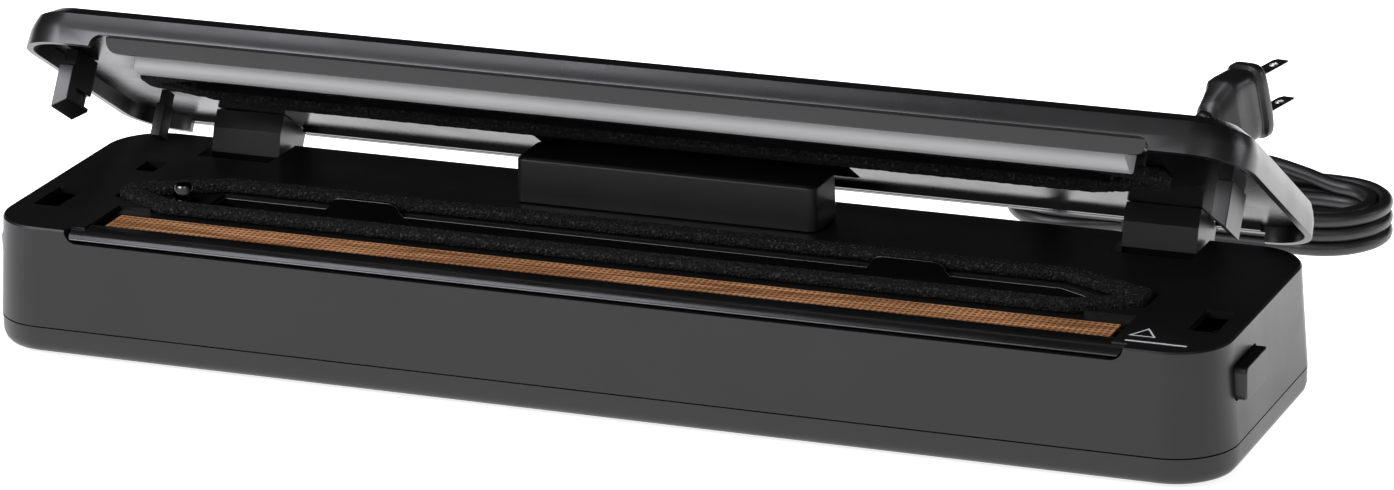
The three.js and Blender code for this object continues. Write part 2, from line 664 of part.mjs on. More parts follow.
function lidShell() {
  const outer = stackedBlock(lidRings([
    [RIM_Z, 0], [RIM_Z + 4.9, 0.25], [RIM_Z + 7.7, 1], [RIM_Z + 10, 1.9], [RIM_Z + 12.9, 6.6],
    [RIM_Z + 14, 11], [RIM_Z + 15.1, 19], [CROWN_Z, 34],
  ]), CORNER_STEPS);
  const inner = stackedBlock(lidRings([
    [RIM_Z - 1, 2], [RIM_Z + 9.2, 3.4], [RIM_Z + 11.3, 7], [RIM_Z + 12.9, 12], [CROWN_Z - 1.8, 34],
  ]));
  const rearCut = box([-REAR_EDGE_HALF, REAR_EDGE_HALF], [44, 52], [RIM_Z - 2, REAR_EDGE_Z]);
  const bagNotch = extrude(
    roundedRect([-NOTCH_HALF, NOTCH_HALF], [RIM_Z - 20, RIM_Z + 3.8], 3.6), -60, -46, 'y');
  const armNotches = SIDES.map(([, side]) => box(
    across(side, [ARM_X - ARM_WIDTH / 2 - MOVE_GAP, ARM_X + ARM_WIDTH / 2 + MOVE_GAP]),
    [44, 55], [RIM_Z - 2, PLATE_Z + 0.4]));
  return cut(
    cut(outer, inner), rearCut, bagNotch, ...armNotches,
    extrude(roundedRect([-66, 66], [-13, 5], 4), CROWN_Z - 0.4, CROWN_Z + 1),
    ...BUTTON_ROW.map(([, x]) => extrude(buttonOutline(x, 0.4), 50, CROWN_Z + 1)),
    cylinder(1.7, 50, CROWN_Z + 1, [STATUS_LIGHT_X, KEY_ROW_Y], 'z', 12),
  );
}

// Opening in the inner plate that the pod passes through as the lid swings.
const POD_ROOM = { x: [POD.x[0] - 2.7, POD.x[1] + 2.7], y: [11.2, 38] };
const CHAMBER_LIP = { x: [-152, 146], y: [-14.4, -3.6], wall: 1.3, bottom: 43.3 };
const REAR_RIB = [-26.2, -24.9];
// Rib in front of the press bar, drawn in (y, z). Its front face leans back.
const FRONT_RIB = [
  [-44.4, PLATE_Z + 1], [-44.4, PLATE_Z - 0.4], [-42, RIM_Z + 0.2], [-40.8, RIM_Z + 0.2],
  [-40.8, PLATE_Z + 1],
];
const BOARD_X = 62;

function lidInnerPlate() {
  const plate = stackedBlock(lidRings([[PLATE_Z, 3.05], [PLATE_Z + PLATE_THICK, 3.3]]));
  const collar = extrude(
    roundedRect([POD_ROOM.x[0] - 1.4, POD_ROOM.x[1] + 1.4],
      [POD_ROOM.y[0] - 1.4, POD_ROOM.y[1] + 1.4], 3.4), PLATE_Z, 52);
  const ribEnd = NOTCH_HALF - 2.6;
  const frontRib = extrude(outline(FRONT_RIB), -ribEnd, ribEnd, 'x').intersect(
    extrude(roundedRect([-ribEnd, ribEnd], [RIM_Z + 0.2, PLATE_Z + 10], 3), -50, -38, 'y'));
  const rearRib = box([-158, 158], REAR_RIB, [43.4, PLATE_Z + 1]);
  const armGap = ARM_WIDTH / 2 + MOVE_GAP;
  const rearSkirt = cut(
    box([-174, 174], [44.9, 46.1], [REAR_EDGE_Z, PLATE_Z + 1]),
    ...SIDES.map(([, side]) =>
      box(across(side, [ARM_X - armGap, ARM_X + armGap]), [40, 50], [RIM_Z - 2, PLATE_Z - 0.1])));
  const { x, y, wall, bottom } = CHAMBER_LIP;
  const half = (y[1] - y[0]) / 2 - 0.01;
  const lip = cut(
    extrude(roundedRect(x, y, half), bottom, PLATE_Z + 1),
    extrude(roundedRect([x[0] + wall, x[1] - wall], [y[0] + wall, y[1] - wall], half - wall),
      bottom - 1, PLATE_Z + 0.4));
  const boardPosts = [[-1, -1], [-1, 1], [1, -1], [1, 1]].map(([sx, sy]) =>
    cylinder(2, PLATE_Z + 1, 50.7, [sx * (BOARD_X - 5), KEY_ROW_Y + sy * 9], 'z', 10));
  return cut(
    joined(plate, collar, frontRib, rearRib, rearSkirt, lip, ...boardPosts),
    extrude(roundedRect(POD_ROOM.x, POD_ROOM.y, 2), PLATE_Z - 1, 60),
  );
}

// Soft bar with a half-round face that presses the bag on the hot strip, drawn in (y, z).
function pressBar() {
  const radius = 5;
  const middleZ = STRIP_TOP + GAP + radius;
  const section = new THREE.Shape();
  section.absarc(STRIP_Y, middleZ, radius, Math.PI, Math.PI * 2);
  section.lineTo(STRIP_Y + radius, PLATE_Z - GAP);
  section.lineTo(STRIP_Y - radius, PLATE_Z - GAP);
  section.closePath();
  const reach = 156.5;
  const ends = extrude(
    roundedRect([-reach, reach], [STRIP_Y - radius - 1, STRIP_Y + radius + 1], 4), 30, 60);
  return extrude(section, -reach, reach, 'x', 4).intersect(ends);
}

// Hook with a sloping tip, drawn for the right end in (x, z). The notch for the nose is in the
// rear part of its inner side. Above the ledge its neck is narrower at the front and outside.
function latchHook(side) {
  const [x0, x1] = HOOK_X;
  const [y0, y1] = HOOK_Y;
  const ledge = 41.4;
  const shoulder = 0.8;
  const blade = extrude(outline([
    [x0, HOOK_TIP_Z + 3], [x1, HOOK_TIP_Z], [x1, ledge], [x0, ledge],
  ]), y0, y1, 'y');
  const neck = box([x0, x1 - shoulder], [y0 + shoulder, y1], [ledge - 1, PLATE_Z - GAP]);
  const notch = box([x0 - 1, x0 + 1.5], [y0 + 5, y1 + 1], [31.8, 35.4]);
  const hook = cut(joined(blade, neck), notch);
  return side > 0 ? hook : hook.mirror([1, 0, 0]);
}

function switchPeg() {
  return joined(
    box([-170.8, -167.6], [12.3, 18.2], [31.6, 42.1]),
    box([-170.3, -168.1], [12.9, 18.2], [41, PLATE_Z - GAP]),
  );
}

// Board under the lid buttons, with one small switch below each of them.
function controlBoard() {
  return joined(
    box([-BOARD_X, BOARD_X], [KEY_ROW_Y - 12, KEY_ROW_Y + 12], [51, 52.6]),
    ...BUTTON_ROW.map(([, x]) => cylinder(2, 52.2, 53.4, [x, KEY_ROW_Y], 'z', 10)),
    box([-22, -12], [KEY_ROW_Y + 3, KEY_ROW_Y + 10], [52.2, 53.6]),
    box([-58, -48], [KEY_ROW_Y - 9, KEY_ROW_Y - 5], [52.2, 54.4]),
  );
}

function lidButton(x) {
  return joined(
    extrude(buttonOutline(x, 0), 54.6, CROWN_Z + 0.3, 'z', 2),
    extrude(buttonOutline(x, 1), 54.4, 55.6, 'z', 2),
  );
}

// ---------------------------------------------------------------- cord and plug

// Rear wall of the housing at the gland's height.
const REAR_WALL = DEPTH / 2 + DRAFT - draftAt(GLAND.z);
const GLAND_REACH = 26;
const CORD_START = REAR_WALL + 2.4 + GLAND_REACH;

function cordGland() {
  const out = REAR_WALL + 0.8;
  const inside = REAR_WALL - WALL - 0.8;
  const geometry = turned([
    [0, inside - 2], [5.4, inside - 2], [5.4, inside], [4, inside], [4, out], [6, out],
    [6, out + 1.6], [4.6, out + 2], [2.9, CORD_START], [0, CORD_START],
  ], 16);
  geometry.rotateX(-Math.PI / 2);
  geometry.translate(GLAND.x, 0, GLAND.z);
  return geometry;
}

// From the gland down to the table and round towards the near side of the hank.
const LEAD_ROUTE = [
  [100, CORD_START + GAP, 16], [100, CORD_START + 8, 15.6], [100, CORD_START + 18, 12.9],
  [100, CORD_START + 28, 8.2], [100, CORD_START + 38, 4.1], [100, CORD_START + 48, 2.7],
  [100, 137, 2.5], [101.4, 144.6, 2.5], [104.8, 150.4, 2.5], [107.7, 153.0, 2.5],
];

// One more turn on top of the hank, round its left end and up to the back of the plug.
const TAIL_Z = HANK.top + GAP + CORD_RADIUS;
const PLUG_END = [113.6, 181.6, 29.3];
const TAIL_ROUTE = [
  [134, 196.5, TAIL_Z], [115, 196.5, TAIL_Z], [95, 196.5, TAIL_Z], [76, 196.5, TAIL_Z],
  [66.6, 194, TAIL_Z], [59.8, 187.2, TAIL_Z], [57.3, 177.8, TAIL_Z], [59.8, 168.4, TAIL_Z],
  [66.6, 161.6, TAIL_Z], [76, 159.1, TAIL_Z + 0.2], [86, 159.8, TAIL_Z + 1.6],
  [95, 162.6, TAIL_Z + 4.6], [102.6, 166.6, TAIL_Z + 7.8], [108.2, 171.6, TAIL_Z + 10.5],
  [111.6, 177, TAIL_Z + 12.1], [113.45, 181.3, TAIL_Z + 12.65],
];

const cordTube = (route, steps) => alongCurve(smooth(route), CORD_RADIUS, steps, 8);

// The wound cord is one ring with round ends, squeezed in where the tie goes round it.
function cordHank() {
  const track = (r) => {
    const shape = new THREE.Shape();
    shape.absarc(HANK.right, HANK.y, r, -Math.PI / 2, Math.PI / 2);
    shape.absarc(HANK.left, HANK.y, r, Math.PI / 2, Math.PI * 1.5);
    shape.closePath();
    return shape;
  };
  const ring = cut(
    extrude(track(HANK.outer), HANK.bottom, HANK.top, 'z', 8),
    extrude(track(HANK.inner), -1, HANK.top + 1, 'z', 8));
  const room = TIE.thick + GAP;
  const nearRun = [HANK.y - HANK.outer, HANK.y - HANK.inner];
  const waist = box([TIE.x[0] - GAP, TIE.x[1] + GAP],
    [nearRun[0] - 1, nearRun[1] + 1], [-1, HANK.top + 1]);
  const core = box([TIE.x[0] - 1, TIE.x[1] + 1],
    [nearRun[0] + room, nearRun[1] - room], [HANK.bottom + room, HANK.top - room]);
  return ring.subtract(waist.subtract(core));
}

function cordTie() {
  const y = [HANK.y - HANK.outer, HANK.y - HANK.inner];
  const t = TIE.thick;
  return extrude(roundedRect(y, [HANK.bottom, HANK.top], 1.2), ...TIE.x, 'x', 2).subtract(
    box([0, 200], [y[0] + t, y[1] - t], [HANK.bottom + t, HANK.top - t]));
}

// The plug lies on edge across the hank, a little tipped: its blades are one above the other.
const PLUG_AXIS = new THREE.Vector3(0.374, 0.918, 0.128).normalize();
const PLUG_TIPPED = new THREE.Vector3(-0.141, -0.08, 0.987);
const PLUG_UP = PLUG_TIPPED.clone()
  .addScaledVector(PLUG_AXIS, -PLUG_AXIS.dot(PLUG_TIPPED)).normalize();
const PLUG_SIDE = new THREE.Vector3().crossVectors(PLUG_AXIS, PLUG_UP);
const PLUG_LENGTH = 30;

function placePlugPiece(mesh) {
  mesh.matrix.makeBasis(PLUG_UP, PLUG_SIDE, PLUG_AXIS);
  mesh.matrix.setPosition(...PLUG_END);
  mesh.matrix.decompose(mesh.position, mesh.quaternion, mesh.scale);
}

function plugBody() {
  return stackedBlock([
    { z: 0.3, w: 7.6, d: 7.6, r: 3.4 }, { z: 7, w: 14, d: 9.6, r: 3.6 },
    { z: 13.4, w: 20, d: 11.6, r: 4 }, { z: 15.4, w: 23.4, d: 13.4, r: 4.2 },
    { z: 25.6, w: 23.4, d: 13.4, r: 4.2 }, { z: 26.4, w: 25, d: 15, r: 4.6 },
    { z: 29.2, w: 25, d: 15, r: 4.6 }, { z: PLUG_LENGTH, w: 23.6, d: 13.6, r: 4 },
  ], 2);
}

// Flat blade with a round hole near its tapered end, drawn with its length along Y.
function plugBlade() {
  const shape = outline([
    [-3.17, 0.3], [3.17, 0.3], [3.17, 15], [2.2, 16.5], [-2.2, 16.5], [-3.17, 15],
  ]);
  const hole = new THREE.Path();
  hole.absarc(0, 11.7, 1.55, 0, Math.PI * 2, true);
  shape.holes.push(hole);
  const blade = new THREE.ExtrudeGeometry(shape, {
    depth: 1.5, bevelEnabled: false, curveSegments: 6,
  });
  blade.translate(0, 0, -0.75);
  const turn = new THREE.Matrix4().makeBasis(
    new THREE.Vector3(0, 1, 0), new THREE.Vector3(0, 0, 1), new THREE.Vector3(1, 0, 0));
  blade.applyMatrix4(turn);
  blade.translate(0, 0, PLUG_LENGTH);
  return blade;
}

// ---------------------------------------------------------------- assembly

function buildBase() {
  addPiece('upper_housing', upperHousing(), SATIN_BLACK);
  addPiece('bottom_cover', bottomCover(), SATIN_BLACK);
  addPiece('seal_bar_base', sealBarBase(), GLOSS_BLACK);
  addPiece('heating_element', stripPiece(152, 5.6, [37.9, 38.3]), NICHROME);
  addPiece('heat_strip_cover', stripPiece(STRIP_HALF, STRIP_WIDTH, [38.55, STRIP_TOP]), PTFE);
  addPiece('lower_gasket', gasketRing(LOWER_GASKET_Z), FOAM);
  addPiece('drip_tray', dripTray(), GLOSS_BLACK);
  addPiece('vacuum_nozzle', vacuumNozzle(), STEEL);
  addPiece('pod_cover', podCover(), GLOSS_BLACK);
  addPiece('air_hose', airHose(), HOSE);
  addPiece('pump_head', pumpHead(), DARK_PART);
  addPiece('pump_motor', pumpMotor(), STEEL);
  addPiece('power_board', powerBoard(), BOARD);
  addPiece('transformer', transformer(), COPPER_WOUND);
  addPiece('micro_switch', microSwitch(), DARK_PART);
  addPiece('switch_plunger', switchPlunger(), SILICONE);
  for (const [name, side] of SIDES) {
    addPiece(`release_button_${name}`, releaseButton(side), SATIN_BLACK);
    addPiece(`latch_slider_${name}`, latchSlider(side), DARK_PART);
    addPiece(`slider_spring_${name}`, sliderSpring(side), STEEL);
    addPiece(`hinge_pin_${name}`, hingePin(side), STEEL);
    addPiece(`lid_spring_${name}`, lidSpring(side), STEEL);
  }
  FEET.forEach((point, i) =>
    addPiece(`foot_${i + 1}`, cylinder(6, 0, COVER_Z + 0.7, point), RUBBER));
  SCREW_POSTS.forEach((point, i) =>
    addPiece(`cover_screw_${i + 1}`, coverScrew(point), STEEL));
}

function buildCord() {
  addPiece('cord_gland', cordGland(), RUBBER);
  addPiece('cord_lead', cordTube(LEAD_ROUTE, 14), CORD_BLACK);
  addPiece('cord_hank', cordHank(), CORD_BLACK);
  addPiece('cord_tie', cordTie(), RUBBER);
  addPiece('cord_tail', cordTube(TAIL_ROUTE, 26), CORD_BLACK);
  placePlugPiece(addPiece('plug_body', plugBody(), CORD_BLACK));
  [['upper', 6.35], ['lower', -6.35]].forEach(([name, offset]) => {
    const blade = addPiece(`plug_blade_${name}`, plugBlade().translate(offset, 0, 0), BRASS);
    placePlugPiece(blade);
  });
}

function buildLid() {
  addPiece('lid_shell', lidShell(), SATIN_BLACK, lid);
  addPiece('lid_inner_plate', lidInnerPlate(), GLOSS_BLACK, lid);
  addPiece('press_bar', pressBar(), SILICONE, lid);
  addPiece('upper_gasket', gasketRing(UPPER_GASKET_Z), FOAM, lid);
  addPiece('switch_peg', switchPeg(), DARK_PART, lid);
  addPiece('control_board', controlBoard(), BOARD, lid);
  for (const [name, side] of SIDES) {
    addPiece(`latch_hook_${name}`, latchHook(side), DARK_PART, lid);
    addPiece(`hinge_arm_${name}`, hingeArm(side), DARK_PART, lid);
  }
  for (const [name, x] of BUTTON_ROW) {
    addPiece(name, lidButton(x), GLOSS_BLACK, lid);
  }
  addPiece('status_light', cylinder(1.4, 55, CROWN_Z, [STATUS_LIGHT_X, KEY_ROW_Y], 'z', 12),
    LENS, lid);
}

buildBase();
buildCord();
buildLid();

// The open lid reaches past the back of the base, so the footprint's middle lies behind the
// base's own centre.
sealer.updateMatrixWorld(true);
const CORD_PIECES = ['cord_gland', 'cord_lead', 'cord_hank', 'cord_tie', 'cord_tail',
  'plug_body', 'plug_blade_upper', 'plug_blade_lower'];
const footprint = new THREE.Box3();
sealer.traverse((piece) => {
  if (piece.isMesh && !CORD_PIECES.includes(piece.name)) {
    footprint.expandByObject(piece, true);
  }
});
sealer.position.y = -(footprint.min.y + footprint.max.y) / 2;

export default sealer;
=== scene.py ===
"""Looks of a counter-top vacuum sealer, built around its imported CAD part."""

import math

import bpy
from mathutils import Matrix, Vector


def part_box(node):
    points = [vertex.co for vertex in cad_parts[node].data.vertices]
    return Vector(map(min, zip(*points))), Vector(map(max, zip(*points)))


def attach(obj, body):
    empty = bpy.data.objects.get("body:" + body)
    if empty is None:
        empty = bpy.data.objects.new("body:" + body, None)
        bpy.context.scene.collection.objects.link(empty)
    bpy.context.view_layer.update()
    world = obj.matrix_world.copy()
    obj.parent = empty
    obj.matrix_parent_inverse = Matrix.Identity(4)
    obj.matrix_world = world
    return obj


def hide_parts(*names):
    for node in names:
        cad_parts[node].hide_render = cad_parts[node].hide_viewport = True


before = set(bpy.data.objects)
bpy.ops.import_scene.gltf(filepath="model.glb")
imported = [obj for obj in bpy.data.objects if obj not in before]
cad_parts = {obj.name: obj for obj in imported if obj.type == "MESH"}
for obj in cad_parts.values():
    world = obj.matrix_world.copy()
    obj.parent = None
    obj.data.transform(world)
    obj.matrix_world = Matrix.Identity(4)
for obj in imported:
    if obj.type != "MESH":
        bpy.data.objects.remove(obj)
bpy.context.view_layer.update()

MM = 0.001

HOUSING_LOW, HOUSING_HIGH = (Vector(corner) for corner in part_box("upper_housing"))
BASE_Y = (HOUSING_LOW.y + HOUSING_HIGH.y) / 2    # middle of the base, in the row frame
DECK_Z = HOUSING_HIGH.z


def at(x, y, z):
    """A point given in millimetres from the middle of the base on the table."""
    return Vector((x * MM, BASE_Y + y * MM, z * MM))


# ------------------------------------------------------------------ camera

CAMERA_AZIMUTH = math.radians(22.361)
CAMERA_ELEVATION = math.radians(18.561)
CAMERA_ROLL = math.radians(-1.33)
CAMERA_OFFSET = Vector((16.4, 16.63, 1801.1))    # across, up and back from the aim, in mm
CAMERA_AIM = (0, 0, 20)
CAMERA_LENS = 157.1


def make_camera():
    """With all its angles at 0, the camera would look level along +Y."""
    turn = (Matrix.Rotation(CAMERA_AZIMUTH, 3, "Z")
            @ Matrix.Rotation(math.pi / 2 - CAMERA_ELEVATION, 3, "X")
            @ Matrix.Rotation(CAMERA_ROLL, 3, "Z"))
    data = bpy.data.cameras.new("camera")
    data.lens = CAMERA_LENS
    data.sensor_width = 36
    data.clip_end = 20
    camera = bpy.data.objects.new("camera", data)
    camera.matrix_world = Matrix.Translation(
        at(*CAMERA_AIM) + turn @ (CAMERA_OFFSET * MM)) @ turn.to_4x4()
    bpy.context.collection.objects.link(camera)
    bpy.context.scene.camera = camera


make_camera()

# ------------------------------------------------------------------ node materials


class Nodes:
    """Short way to make a material's nodes and join them. Pattern scales are per metre."""

    def __init__(self, name):
        self.material = bpy.data.materials.new(name)
        self.material.use_nodes = True
        self.tree = self.material.node_tree
        self.shader = self.tree.nodes["Principled BSDF"]
        self.place = self.tree.nodes.new("ShaderNodeTexCoord").outputs["Object"]

    def add(self, kind, inputs=None, **settings):
        node = self.tree.nodes.new(kind)
        for key, value in settings.items():
            setattr(node, key, value)
        for key, value in (inputs or {}).items():
            self.feed(node.inputs[key], value)
        return node

    def feed(self, socket, value):
        if isinstance(value, bpy.types.NodeSocket):
            self.tree.links.new(value, socket)
        else:
            socket.default_value = value

    def along(self, axis):
        """Place along X, Y or Z, in metres."""
        return self.add("ShaderNodeSeparateXYZ", {0: self.place}).outputs[axis]

    def stretched(self, x, y, z):
        """Place scaled by axis, for a pattern that runs long in one direction."""
        node = self.add("ShaderNodeMapping", {"Vector": self.place, "Scale": (x, y, z)})
        return node.outputs["Vector"]

    def noise(self, scale, detail, roughness=0.5, place=None):
        node = self.add("ShaderNodeTexNoise", {
            "Vector": place or self.place, "Scale": scale, "Detail": detail,
            "Roughness": roughness})
        return node.outputs["Fac"]

    def ramp(self, value, low, high, start=0.0, end=1.0):
        """Start at low, end at high, and straight between them."""
        node = self.add("ShaderNodeMapRange", {
            "Value": value, "From Min": low, "From Max": high, "To Min": start, "To Max": end})
        return node.outputs["Result"]

    def math(self, operation, a, b):
        return self.add("ShaderNodeMath", {0: a, 1: b}, operation=operation).outputs[0]

    def mix(self, factor, a, b):
        """Colour a where the factor is 0 and colour b where it is 1."""
        node = self.add("ShaderNodeMix", data_type="RGBA")
        self.feed(node.inputs[0], factor)
        self.feed(node.inputs[6], a)
        self.feed(node.inputs[7], b)
        return node.outputs[2]

    def bump(self, height, strength, distance, under=None):
        """Relief of the given depth in metres, laid over the relief under it."""
        inputs = {"Height": height, "Strength": strength, "Distance": distance}
        if under is not None:
            inputs["Normal"] = under
        return self.add("ShaderNodeBump", inputs).outputs["Normal"]

    def set(self, **values):
        """Fills the shader's inputs, with _ for a space in a name, and gives the material."""
        for key, value in values.items():
            self.feed(self.shader.inputs[key.replace("_", " ")], value)
        return self.material


def rgb(r, g, b):
    return (r, g, b, 1.0)


def grey(value, warmth=0.0):
    return rgb(value * (1 + warmth), value, value * (1 - warmth))


def moulded(name, dark, light, rough, grain, grain_depth, specular=0.5):
    """Moulded plastic or rubber: uneven tone, fine grain, a little dust in the grain."""
    nodes = Nodes(name)
    cloud = nodes.ramp(nodes.noise(9.0, 4.0), 0.35, 0.65)
    fine = nodes.noise(grain, 2.0, 0.6)
    dust = nodes.ramp(nodes.noise(1900.0, 1.0), 0.74, 0.82)
    colour = nodes.mix(cloud, dark, light)
    colour = nodes.mix(nodes.math("MULTIPLY", dust, 0.10), colour, grey(0.16, 0.02))
    smudge = nodes.ramp(nodes.noise(26.0, 5.0, 0.62), 0.3, 0.7, rough[0], rough[1])
    normal = nodes.bump(fine, 0.35, grain_depth)
    normal = nodes.bump(nodes.noise(55.0, 1.0), 0.12, 0.00012, under=normal)
    return nodes.set(Base_Color=colour, Roughness=smudge, Normal=normal, Specular_IOR_Level=specular)


def polished(name, dark, light, rough, specular=0.5):
    """Polished plastic with fine hairline scratches and slight waviness."""
    nodes = Nodes(name)
    cloud = nodes.ramp(nodes.noise(14.0, 3.0), 0.35, 0.65)
    scratch = nodes.ramp(nodes.noise(160.0, 2.0, 0.5, nodes.stretched(0.06, 1.0, 1.0)), 0.62, 0.72)
    colour = nodes.mix(cloud, dark, light)
    smudge = nodes.ramp(nodes.noise(38.0, 5.0, 0.6), 0.35, 0.7, rough[0], rough[1])
    roughness = nodes.math("ADD", smudge, nodes.math("MULTIPLY", scratch, 0.05))
    normal = nodes.bump(nodes.noise(45.0, 1.0), 0.10, 0.00010)
    return nodes.set(Base_Color=colour, Roughness=roughness, Normal=normal,
                 Specular_IOR_Level=specular)


def foam_material():
    """Closed skin with open pores: painted shade in the pores, a few light flecks, deep bump."""
    nodes = Nodes("foam")
    cells = nodes.add("ShaderNodeTexVoronoi", {"Vector": nodes.place, "Scale": 1100.0})
    pore = nodes.ramp(cells.outputs["Distance"], 0.15, 0.62)
    flecks = nodes.ramp(nodes.noise(1100.0, 2.0, 0.7), 0.57, 0.68)
    tone = nodes.mix(nodes.noise(120.0, 4.0), grey(0.005), grey(0.015))
    # Painted shade: the pores are coloured darker than the skin, in the hollows that the bump below
    # makes.
    colour = nodes.mix(pore, grey(0.004), tone)
    colour = nodes.mix(nodes.math("MULTIPLY", flecks, 0.45), colour, grey(0.11))
    normal = nodes.bump(pore, 0.8, 0.0004)
    normal = nodes.bump(nodes.noise(420.0, 3.0), 0.5, 0.0004, under=normal)
    return nodes.set(Base_Color=colour, Roughness=nodes.ramp(pore, 0, 1, 1.0, 0.82), Normal=normal,
                 Specular_IOR_Level=0.14)


PALE_EDGE = (0.7, 0.3)    # fades in between these distances from the tape's front edge, in mm


def threads(nodes, axis):
    """The bands that threads make across one axis."""
    return nodes.add("ShaderNodeTexWave", {
        "Vector": nodes.place, "Scale": 170.0, "Distortion": 0.4, "Detail": 1.0},
        bands_direction=axis).outputs["Fac"]


def cloth_tape_material():
    """Coated glass cloth: a fine square weave, with a pale cut edge along the front."""
    nodes = Nodes("cloth_tape")
    crossings = nodes.math("MULTIPLY", threads(nodes, "X"), threads(nodes, "Y"))
    weave = nodes.ramp(crossings, 0.05, 0.55)
    streaks = nodes.ramp(nodes.noise(30.0, 4.0, 0.7, nodes.stretched(1.0, 14.0, 1.0)), 0.36, 0.64)
    warm = nodes.mix(streaks, rgb(0.24, 0.098, 0.036), rgb(0.66, 0.33, 0.150))
    colour = nodes.mix(nodes.math("MULTIPLY", weave, 0.85), warm, rgb(0.10, 0.036, 0.012))
    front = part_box("heat_strip_cover")[0][1]
    edge = nodes.ramp(nodes.along("Y"), *(front + distance * MM for distance in PALE_EDGE))
    colour = nodes.mix(edge, colour, rgb(0.62, 0.56, 0.48))
    return nodes.set(Base_Color=colour, Roughness=nodes.ramp(streaks, 0.2, 0.8, 0.38, 0.55),
                 Normal=nodes.bump(weave, 0.5, 0.00015), Specular_IOR_Level=0.5)


def metal(name, dark, light, rough, stretch):
    """Drawn or turned metal with fine lines along one direction."""
    nodes = Nodes(name)
    lines = nodes.noise(240.0, 3.0, 0.6, nodes.stretched(*stretch))
    stain = nodes.ramp(nodes.noise(70.0, 4.0), 0.4, 0.7)
    colour = nodes.mix(stain, light, dark)
    roughness = nodes.ramp(lines, 0.25, 0.75, rough[0], rough[1])
    return nodes.set(Base_Color=colour, Roughness=roughness, Normal=nodes.bump(lines, 0.25, 0.00006),
                 Metallic=1.0, Anisotropic=0.3)


def circuit_material():
    """Solder mask with paler copper tracks beneath it."""
    nodes = Nodes("circuit_board")
    tracks = nodes.add("ShaderNodeTexBrick", {
        "Vector": nodes.place, "Color1": grey(0.0), "Color2": grey(0.2), "Mortar": grey(1.0),
        "Scale": 140.0, "Mortar Size": 0.02})
    speck = nodes.ramp(nodes.noise(420.0, 2.0), 0.62, 0.66)
    colour = nodes.mix(tracks.outputs["Fac"], rgb(0.012, 0.085, 0.032), rgb(0.035, 0.16, 0.06))
    colour = nodes.mix(speck, colour, rgb(0.42, 0.42, 0.40))
    return nodes.set(Base_Color=colour, Roughness=nodes.ramp(speck, 0, 1, 0.38, 0.25),
                 Normal=nodes.bump(tracks.outputs["Fac"], 0.4, 0.0001))


def hose_material():
    """Milky soft hose."""
    nodes = Nodes("hose")
    haze = nodes.noise(90.0, 3.0)
    colour = nodes.mix(haze, rgb(0.50, 0.53, 0.53), rgb(0.66, 0.68, 0.67))
    return nodes.set(Base_Color=colour, Roughness=nodes.ramp(haze, 0.2, 0.8, 0.22, 0.4),
                 Normal=nodes.bump(haze, 0.1, 0.0001), Transmission_Weight=0.25)


# The floor's emission is a painted glow, not a lamp: it lights the sealer's back and end walls and
# hides its shadow.
GLOW_PLACES = (-0.05, 0.3)     # the floor's glow grows between these places along Y, in metres
GLOW_STRENGTHS = (0.8, 1.9)


def floor_material():
    """Pale floor with a painted glow that grows stronger behind the sealer, lighting the sealer from
    behind and below and washing out its shadow.
    """
    nodes = Nodes("floor")
    haze = nodes.noise(3.0, 2.0)
    return nodes.set(Base_Color=nodes.mix(haze, grey(0.80), grey(0.83)),
                 Roughness=nodes.ramp(haze, 0, 1, 0.7, 0.8), Specular_IOR_Level=0.2,
                 Emission_Strength=nodes.ramp(nodes.along("Y"), *GLOW_PLACES, *GLOW_STRENGTHS),
                 Emission_Color=grey(1.0))


MOULD_GRAIN = 4200.0      # scale of the fine grain of moulded plastic
RUBBER_GRAIN = 2600.0     # scale of the coarser grain of rubber and cord

